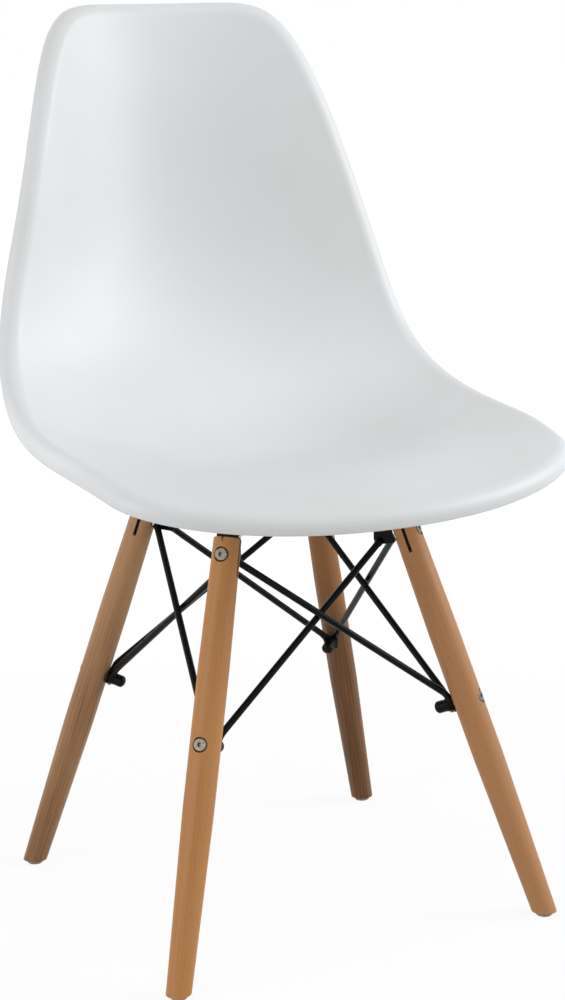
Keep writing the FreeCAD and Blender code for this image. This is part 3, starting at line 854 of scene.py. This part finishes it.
@dataclass
class Rod:
    """One bent rod from a bracket's gusset to the lower bolt of the next leg."""

    start: LegPlace
    end: LegPlace
    lay: Lay
    rod_d: float = 6.2 * MM
    eye_d: float = 14.0 * MM
    eye_thickness: float = 2.5 * MM
    eye_clearance: float = 0.3 * MM
    bend_at: float = 14.0 * MM
    bend_radius: float = 12.0 * MM
    inner_lift: float = 2.7 * MM
    top_reach: tuple = (8.2 * MM, 19.2 * MM)
    top_drop: tuple = (23.3 * MM, 25.8 * MM)
    top_side: float = 2.5 * MM
    neck_swell: float = 1.2 * MM
    shoulder: float = 4.9 * MM
    shoulder_at: tuple = (5.0 * MM, 9.0 * MM)
    sinks_at: tuple = (6.0 * MM, 13.0 * MM)
    round_at: tuple = (4.5 * MM, 13.5 * MM)
    bead: float = 0.22
    bead_at: float = 3.0 * MM
    bead_spread: float = 2.0 * MM
    end_round: float = 2.2 * MM
    around: int = 28

    def route(self) -> tuple[Array, Array]:
        """Return the rod's centre line from the far side of the eye to the gusset.

        Straight along the leg's side through the bolt's axis, an arc at the bend, straight up to
        the gusset's face. The flattened part sinks to the eye's middle by a smooth step.

        Returns:
            Points of the line and their distance from the bolt's axis.
        """
        inner = self.lay is Lay.ON_OTHER
        side = 1 if self.start.sideways @ (self.end.top - self.start.top) > 0 else -1
        place = self.lay.value
        top = self.start.under_flange(self.top_reach[place], side * self.top_side)
        top = top - [0.0, 0.0, self.top_drop[place]]
        stack = self.eye_clearance + self.eye_thickness * (2 if inner else 1)
        middle = self.end.on_axis(self.end.lower_bolt_down)
        middle = middle + self.end.inward * (self.end.radius(self.end.lower_bolt_down) + stack)
        towards = top - middle
        direction = unit(towards - self.end.inward * (towards @ self.end.inward))
        lift = self.inner_lift if inner else 0.0
        bend = middle + direction * self.bend_at + self.end.inward * lift
        first = unit(bend - middle)
        second = unit(top - bend)
        half_turn = math.acos(float(np.clip(first @ second, -1, 1))) / 2
        setback = self.bend_radius * math.tan(half_turn)
        share = np.linspace(0.0, 1.0, 12)[:, None]
        begin = middle - direction * (self.eye_d / 2)
        eye = begin + (middle - begin) * (1 - (1 - share) ** 2)
        low = middle + (bend - first * setback - middle) * share
        arc_start = bend - first * setback
        arc_end = bend + second * setback
        arc = (1 - share) ** 2 * arc_start + 2 * share * (1 - share) * bend + share ** 2 * arc_end
        rest = arc_end + (top - arc_end) * (1 - np.linspace(1.0, 0.0, 44)[:, None] ** 2.2)
        line = np.concatenate([eye, low[1:], arc[1:], rest[1:]])
        along = way_along(line) - self.eye_d / 2
        sink = (1 - ease(*self.sinks_at, along)) * self.eye_thickness / 2
        return line - self.end.inward * sink[:, None], along

    def rings(self) -> Array:
        """Return the rod's rings.

        A ring is centre + width * cos^(2/p) across + thickness * sin^(2/p) inward, its power p
        from a flat oblong at the eye to a circle on the rod. The eye's width is the chord of its
        circle. Near the gusset a bell curve of the way left swells the rod into its weld bead,
        and a quarter ellipse closes its end.
        """
        line, along = self.route()
        tangent = unit(np.gradient(line, axis=0))
        inward = self.end.inward
        up = unit(inward - tangent * (tangent @ inward)[:, None])
        side = np.cross(tangent, up)
        eye = np.sqrt(np.maximum((self.eye_d / 2) ** 2 - along ** 2, (0.35 * MM) ** 2))
        rod = self.rod_d / 2
        blend = ease(*self.round_at, along)
        neck = rod + self.neck_swell * (1 - blend)
        shoulder = neck + (self.shoulder - neck) * (1 - ease(*self.shoulder_at, along))
        width = np.where(along > self.shoulder_at[0], shoulder, np.maximum(eye, neck))
        thick = self.eye_thickness / 2 + (rod - self.eye_thickness / 2) * blend
        to_top = along[-1] - along
        bead = 1.0 + self.bead * np.exp(-((to_top - self.bead_at) / self.bead_spread) ** 2)
        closing = np.clip(1.0 - to_top / self.end_round, 0.0, 0.995)
        weld = bead * np.sqrt(1.0 - closing ** 2)
        power = (2.0 / (5.0 - 3.0 * blend))[:, None]
        turn = full_turn(self.around)
        cosine = np.sign(np.cos(turn)) * np.abs(np.cos(turn)) ** power
        sine = np.sign(np.sin(turn)) * np.abs(np.sin(turn)) ** power
        return line[:, None] \
            + (width * weld)[:, None, None] * cosine[..., None] * side[:, None] \
            + (thick * weld)[:, None, None] * sine[..., None] * up[:, None]

    def build(self, finish: Material) -> None:
        """Make the rod's piece, which stands for its CAD node."""
        node = f"rod_{self.start.corner.label}_to_{self.end.corner.label}"
        piece = make_piece("bent_" + node, [self.rings()], 50.0, finish)
        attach(piece, "root")
        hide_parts(node)


@dataclass
class Gussets:
    """The upright plates under the brackets' flanges that the rods are welded to."""

    legs: list
    thickness: float = 3.0 * MM
    edge: float = 0.4 * MM
    corners: tuple = (
        (14.2 * MM, -0.5 * MM, 0.0),
        (26.0 * MM, -0.5 * MM, 0.4 * MM),
        (26.0 * MM, 30.5 * MM, 6.5 * MM),
        (5.8 * MM, 28.0 * MM, 2.0 * MM),
        (14.2 * MM, -0.5 * MM, 0.0),
    )

    def rings(self, leg: LegPlace) -> Array:
        """Return one plate: its outline carried through its thickness, edges broken.

        A point is the flange's underside above the leg, plus reach along the level direction,
        less its drop, plus a share of the thickness sideways.

        Args:
            leg: the leg that the plate stands beside.
        """
        outline = rounded_profile(list(self.corners), 8)[:-1]
        middle = outline.mean(axis=0)
        half = self.thickness / 2
        away = outline - middle
        rows = []
        for offset, inset in ((-half, self.edge), (self.edge - half, 0.0), (half - self.edge, 0.0),
                              (half, self.edge)):
            flat = middle + away - unit(away) * inset
            foot = leg.under_flange(0.0, offset)
            rows.append(foot + flat[:, :1] * leg.level - flat[:, 1:] * np.eye(3)[2])
        return np.stack(rows)

    def build(self, finish: Material) -> None:
        """Make the four plates as one piece."""
        surfaces = [self.rings(leg) for leg in self.legs]
        piece = make_piece("bracket_gussets", surfaces, 35.0, finish)
        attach(piece, "root")


@dataclass
class CapNuts:
    """The black domed cap nuts on the lower bolts."""

    legs: list
    seat_gap: float = 5.3 * MM
    collar_d: float = 12.2 * MM
    collar: float = 2.5 * MM
    body_d: float = 11.4 * MM
    straight: float = 9.4 * MM
    dome: float = 4.0 * MM

    def profile(self) -> Array:
        """Return radius and height: a collar, a body with a moulding line, a quarter ellipse."""
        collar = self.collar_d / 2
        body = self.body_d / 2
        low = rounded_profile([
            (0.0, 0.0, 0.0),
            (collar, 0.0, 0.5 * MM),
            (collar, self.collar, 0.6 * MM),
            (body - 0.1 * MM, self.collar + 0.4 * MM, 0.3 * MM),
            (body, self.collar + 2.4 * MM, 0.3 * MM),
            (body, self.straight * 0.74, 0.3 * MM),
            (body - 0.35 * MM, self.straight * 0.77, 0.2 * MM),
            (body, self.straight * 0.80, 0.3 * MM),
            (body, self.straight, 0.0)], 5)[1:]
        turn = np.linspace(0.0, np.pi / 2, 14)[1:-1]
        dome = np.stack([body * np.cos(turn), self.straight + self.dome * np.sin(turn)], axis=-1)
        return np.concatenate([low, dome])

    def build(self, finish: Material) -> None:
        """Make the four cap nuts as one piece, which stands for its CAD node."""
        surfaces = []
        for leg in self.legs:
            seat = leg.on_axis(leg.lower_bolt_down)
            seat = seat + leg.inward * (leg.radius(leg.lower_bolt_down) + self.seat_gap)
            surfaces.append(turned_rings(self.profile(), seat, leg.inward, 40))
        piece = make_piece("turned_cap_nuts", surfaces, 40.0, finish)
        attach(piece, "root")
        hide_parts("lower_cap_nuts")


# The studio

@dataclass
class Studio:
    """A pale floor, soft lamps and the camera that looks as the photograph does.

    A lamp is its name, place, side, power in watts and colour.
    """

    azimuth: float = -26.139
    elevation: float = 12.332
    roll: float = -1.158
    distance: float = 2.0323
    aim: tuple = (0.0, -0.00107, 0.3216)
    aim_right: float = 0.0082
    aim_up: float = 0.05636
    focal: float = 2195.0
    frame_height: float = 1000.0
    sensor: float = 36.0
    lamps_aim: tuple = (0.0, 0.0, 0.45)
    lamps: tuple = (
        ("key", (2.9, -1.45, 1.7), 2.0, 71.0, (0.965, 0.985, 1.0)),
        ("fill", (-3.1, -0.7, 1.2), 1.8, 34.0, (1.0, 0.99, 0.975)),
        ("top", (-0.2, -0.5, 3.05), 2.4, 10.0, (0.98, 0.99, 1.0)),
        ("back", (-0.8, 3.1, 1.5), 2.2, 18.0, (0.985, 0.99, 1.0)),
    )
    room_light: float = 0.37
    floor_half: float = 30.0
    floor_tone: float = 0.65
    floor_glow: float = 1.08

    def camera(self) -> None:
        """Stand the camera at its angle, turned a little about its own axis."""
        a, e, r = (math.radians(v) for v in (self.azimuth, self.elevation, self.roll))
        back = np.array([math.sin(a) * math.cos(e), -math.cos(a) * math.cos(e), math.sin(e)])
        right = np.array([math.cos(a), math.sin(a), 0.0])
        up = np.cross(back, right)
        turned_right = math.cos(r) * right + math.sin(r) * up
        turned_up = -math.sin(r) * right + math.cos(r) * up
        target = np.array(self.aim) + turned_right * self.aim_right + turned_up * self.aim_up
        place = target + back * self.distance
        data = bpy.data.cameras.new("camera")
        data.sensor_width = self.sensor
        data.lens = self.focal * self.sensor / self.frame_height
        data.clip_start = 0.05
        data.clip_end = 100.0
        thing = bpy.data.objects.new("camera", data)
        columns = np.stack([turned_right, turned_up, back], axis=1)
        thing.matrix_world = Matrix(columns.tolist()).to_4x4()
        thing.location = place
        bpy.context.scene.collection.objects.link(thing)
        bpy.context.scene.camera = thing

    def hang(self) -> None:
        """Hang the soft square lamps, each facing the chair."""
        for name, place, size, power, colour in self.lamps:
            data = bpy.data.lights.new(name, "AREA")
            data.shape = "RECTANGLE"
            data.size = data.size_y = size
            data.energy = power
            data.color = colour
            thing = bpy.data.objects.new(name, data)
            thing.location = place
            thing.rotation_mode = "QUATERNION"
            way = Vector(self.lamps_aim) - Vector(place)
            thing.rotation_quaternion = way.to_track_quat("-Z", "Y")
            bpy.context.scene.collection.objects.link(thing)

    @staticmethod
    def two_looks(graph: Graph, share: Wire | float, lit: Wire, shown: Wire) -> Wire:
        """Return a surface that rays of the camera, of gloss and of glass see differently.

        Args:
            graph: the graph that it belongs to.
            share: how much of the shown look these rays see.
            lit: the look for the others.
            shown: the look for these.
        """
        path = graph.node("ShaderNodeLightPath")
        seen = Wire(graph, path.outputs["Is Camera Ray"])
        for key in ("Is Glossy Ray", "Is Transmission Ray"):
            seen = seen + Wire(graph, path.outputs[key])
        inputs = {"Fac": seen * share, "Shader": lit, "Shader_001": shown}
        return graph.node("ShaderNodeMixShader", None, inputs, "Shader")

    def world(self) -> None:
        """Light the room evenly, and show it white."""
        graph = Graph(bpy.data.worlds.new("room"))
        bpy.context.scene.world = graph.owner
        soft = {"Color": (0.98, 0.99, 1.0, 1.0), "Strength": self.room_light}
        white = {"Color": (1.0, 1.0, 1.0, 1.0), "Strength": 1.0}
        looks = [graph.node("ShaderNodeBackground", None, inputs, "Background")
                 for inputs in (soft, white)]
        graph.node("ShaderNodeOutputWorld", None, {"Surface": self.two_looks(graph, 1.0, *looks)})

    def floor(self) -> None:
        """Lay a pale floor that keeps the chair's soft shadow and turns white further away."""
        half = self.floor_half
        mesh = bpy.data.meshes.new("floor")
        corners = [(-half, -half, 0), (half, -half, 0), (half, half, 0), (-half, half, 0)]
        mesh.from_pydata(corners, [], [(0, 1, 2, 3)])
        thing = bpy.data.objects.new("floor", mesh)
        bpy.context.scene.collection.objects.link(thing)
        graph = Graph.of_material("floor")
        pale = {"Color": (*[self.floor_tone] * 3, 1.0)}
        white = {"Color": (1.0, 1.0, 1.0, 1.0), "Strength": self.floor_glow}
        lit = graph.node("ShaderNodeBsdfDiffuse", None, pale, "BSDF")
        shown = graph.node("ShaderNodeEmission", None, white, "Emission")
        x, y, _ = graph.parts(graph.place())
        away = (x * x + y * y) ** 0.5
        share = away.rise(0.5, 1.8) * 0.16 + 0.84
        surface = self.two_looks(graph, share, lit, shown)
        graph.node("ShaderNodeOutputMaterial", None, {"Surface": surface})
        mesh.materials.append(graph.owner)

    def build(self) -> None:
        """Set up the whole studio."""
        bpy.context.scene.view_settings.view_transform = "Standard"
        self.camera()
        self.hang()
        self.world()
        self.floor()


# The chair

@dataclass
class Chair:
    """The whole chair: new skins over the CAD frame and finishes on what stays.

    The legs' woods differ as boards do, and by painted shade: light tone, dark tone, the heart
    beside the leg, and how much painted shade darkens the lower part. The rear-left leg's darker
    tones are partly painted shade.
    """

    nodes: dict
    woods_and_shade: tuple = (
        ((194, 136, 80), (144, 86, 40), (0.052, 0.034), 0.0),
        ((190, 136, 90), (144, 94, 56), (-0.061, 0.022), 0.0),
        # rear left: its own tones darkened partly as painted shade, with painted shade low down
        ((156, 106, 60), (84, 50, 22), (-0.043, -0.047), 0.5),
        # rear right: painted shade low down
        ((184, 140, 98), (112, 70, 40), (0.018, -0.072), 0.30),
    )
    legs: dict = field(init=False)

    def __post_init__(self) -> None:
        """Place the four legs."""
        self.legs = {corner: LegPlace(corner) for corner in Corner}

    def dress(self, name: str, finish: Material) -> None:
        """Give one CAD node that stays its finish.

        Args:
            name: the node.
            finish: its material.
        """
        thing = self.nodes[name]
        thing.data.materials.clear()
        thing.data.materials.append(finish)
        LOG.info("dressed %s", name)

    def build_new(self, steel: Material) -> None:
        """Build the new pieces in order."""
        plastic = ShellPlastic().material()
        cap = BlackSteel("black_cap", tone(12, 12, 13), tone(20, 20, 20), 0.30).material()
        shell = Shell()
        legs = list(self.legs.values())
        shell.build(plastic)
        Bosses(shell, legs).build(plastic)
        for i, leg in enumerate(legs):
            Rod(leg, legs[(i + 1) % len(legs)], Lay.AGAINST_LEG).build(steel)
            Rod(leg, legs[i - 1], Lay.ON_OTHER).build(steel)
        Gussets(legs).build(steel)
        CapNuts(legs).build(cap)

    def dress_old(self, steel: Material) -> None:
        """Give the nodes that stay their finishes."""
        for i, (corner, leg) in enumerate(self.legs.items()):
            # each leg's tones, and the painted shade on its lower part
            light, dark, heart, painted_shade_below = self.woods_and_shade[i]
            wood_and_shade = Beech("beech_" + corner.label, tuple(leg.foot), leg.grain_turn(), tone(*light),
                         tone(*dark), heart, 1.7 * i, painted_shade_below)
            self.dress("leg_" + corner.label, wood_and_shade.material())
            self.dress("bracket_" + corner.label, steel)
        glides = ["foot_glide_" + corner.label for corner in Corner]
        for finish, *names in (
                (SoftPlastic("glide_plastic", tone(150, 151, 153), tone(178, 178, 178), 0.5),
                 *glides),
                (SoftPlastic("pad_rubber", tone(26, 26, 27), tone(42, 42, 43), 0.75),
                 "mount_pads"),
                (PlatedMetal("insert_brass", tone(212, 176, 104), tone(150, 118, 60), 0.34),
                 "shell_inserts"),
                (PlatedMetal("bright_steel", tone(205, 205, 204), tone(150, 148, 144), 0.30),
                 "shell_washers", "shell_bolts", "upper_leg_nuts", "glide_nails"),
                # the bolts' plated colour is kept dark, partly as painted shade standing in for
                # their shadowed sockets
                (PlatedMetal("bolt_steel", tone(122, 115, 104), tone(64, 59, 52), 0.46),
                 "upper_leg_bolts", "lower_leg_bolts")):
            material = finish.material()
            for name in names:
                self.dress(name, material)

    def build(self) -> None:
        """Build and dress the whole chair."""
        steel = BlackSteel().material()
        self.build_new(steel)
        self.dress_old(steel)


def main() -> None:
    """Load the frame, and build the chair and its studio."""
    logging.basicConfig(level=logging.INFO, format="%(message)s")
    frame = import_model()
    Chair(frame["nodes"]).build()
    Studio().build()
    bpy.context.view_layer.update()


if __name__ == "__main__":
    main()
